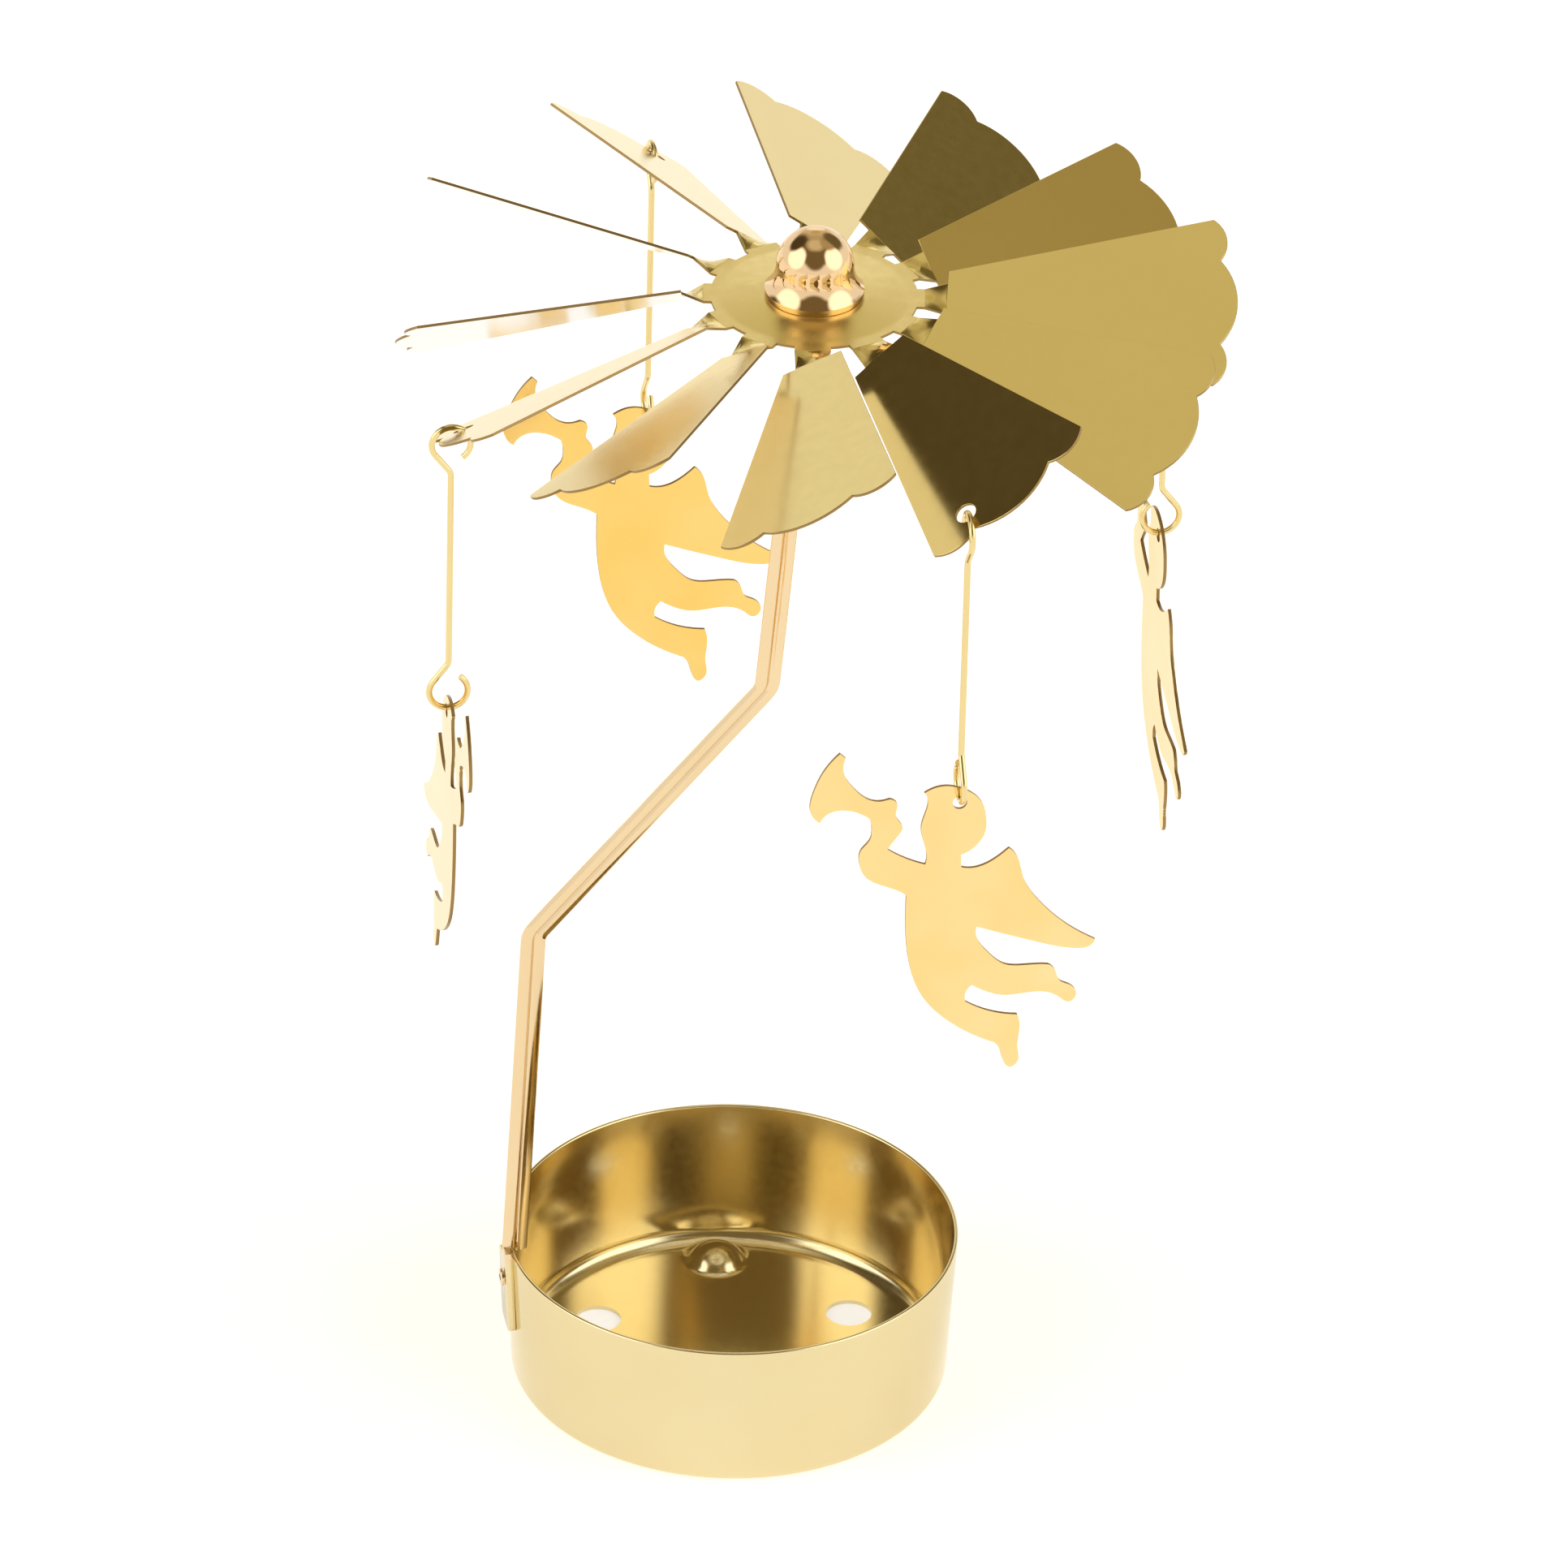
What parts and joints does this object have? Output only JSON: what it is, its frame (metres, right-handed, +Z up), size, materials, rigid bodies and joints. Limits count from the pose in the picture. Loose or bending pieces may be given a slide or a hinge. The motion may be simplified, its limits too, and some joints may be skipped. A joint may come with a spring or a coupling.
{
  "type": "angel chime carousel",
  "caption": "Tealight cup with a cranked post on its rim and a bladed fan that turns on a needle in rising warm air, carrying flat trumpet angels on wire hooks.",
  "frame": {"origin": "centre of the cup's underside, where it stands", "axes": "+Z up along the cup's axis; the post stands on the -X side of the rim; the viewer's side is -Y"},
  "size_m": [0.115, 0.1155, 0.1866],
  "materials": {
    "cup_brass": "polished, drawn sheet",
    "post_brass": "bright, folded strip",
    "fan_brass": "polished, stamped sheet",
    "cap_brass": "mirror bright, drawn",
    "wire_brass": "bright drawn wire",
    "angel_brass": "satin, stamped sheet",
    "needle_steel": "drawn, ground to a point"
  },
  "bodies": {
    "stand": {"base_cup": "cup_brass", "post": "post_brass", "tab_rivet": "post_brass", "pivot_needle": "needle_steel"},
    "fan": {"fan": "fan_brass", "pivot_cup": "cap_brass", "finial_cap": "cap_brass"},
    "hook_right": {"hook_right": "wire_brass"},
    "angel_right": {"angel_right": "angel_brass"},
    "hook_back": {"hook_back": "wire_brass"},
    "angel_back": {"angel_back": "angel_brass"},
    "hook_left": {"hook_left": "wire_brass"},
    "angel_left": {"angel_left": "angel_brass"},
    "hook_front": {"hook_front": "wire_brass"},
    "angel_front": {"angel_front": "angel_brass"}
  },
  "joints": [
    {"name": "fan_spin", "type": "hinge", "parent": "stand", "child": "fan", "pos_m": [0.0084, 0, 0.18415], "axis": [0, 0, 1], "continuous": true},
    {"name": "hook_right_swing", "type": "hinge", "parent": "fan", "child": "hook_right", "pos_m": [0.06167, 0.01261, 0.16835], "axis": [0.023, -0.9997, 0], "range_deg": [-8, 25]},
    {"name": "angel_right_sway", "type": "hinge", "parent": "hook_right", "child": "angel_right", "pos_m": [0.06167, 0.01261, 0.12605], "axis": [0.9997, 0.023, 0], "range_deg": [-20, 20]},
    {"name": "hook_back_swing", "type": "hinge", "parent": "fan", "child": "hook_back", "pos_m": [-0.00454, 0.05329, 0.1689], "axis": [0.9996, 0.0287, 0], "range_deg": [-8, 25]},
    {"name": "angel_back_sway", "type": "hinge", "parent": "hook_back", "child": "angel_back", "pos_m": [-0.00454, 0.05329, 0.1266], "axis": [-0.0287, 0.9996, 0], "range_deg": [-20, 20]},
    {"name": "hook_left_swing", "type": "hinge", "parent": "fan", "child": "hook_left", "pos_m": [-0.04394, -0.01019, 0.16292], "axis": [0.0172, 0.9999, 0], "range_deg": [-8, 25]},
    {"name": "angel_left_sway", "type": "hinge", "parent": "hook_left", "child": "angel_left", "pos_m": [-0.04394, -0.01019, 0.12062], "axis": [-0.9999, 0.0172, 0], "range_deg": [-20, 20]},
    {"name": "hook_front_swing", "type": "hinge", "parent": "fan", "child": "hook_front", "pos_m": [0.01961, -0.05357, 0.16866], "axis": [-1, 0.0032, 0], "range_deg": [-8, 25]},
    {"name": "angel_front_sway", "type": "hinge", "parent": "hook_front", "child": "angel_front", "pos_m": [0.01961, -0.05357, 0.12636], "axis": [-0.0032, -1, 0], "range_deg": [-20, 20]}
  ]
}
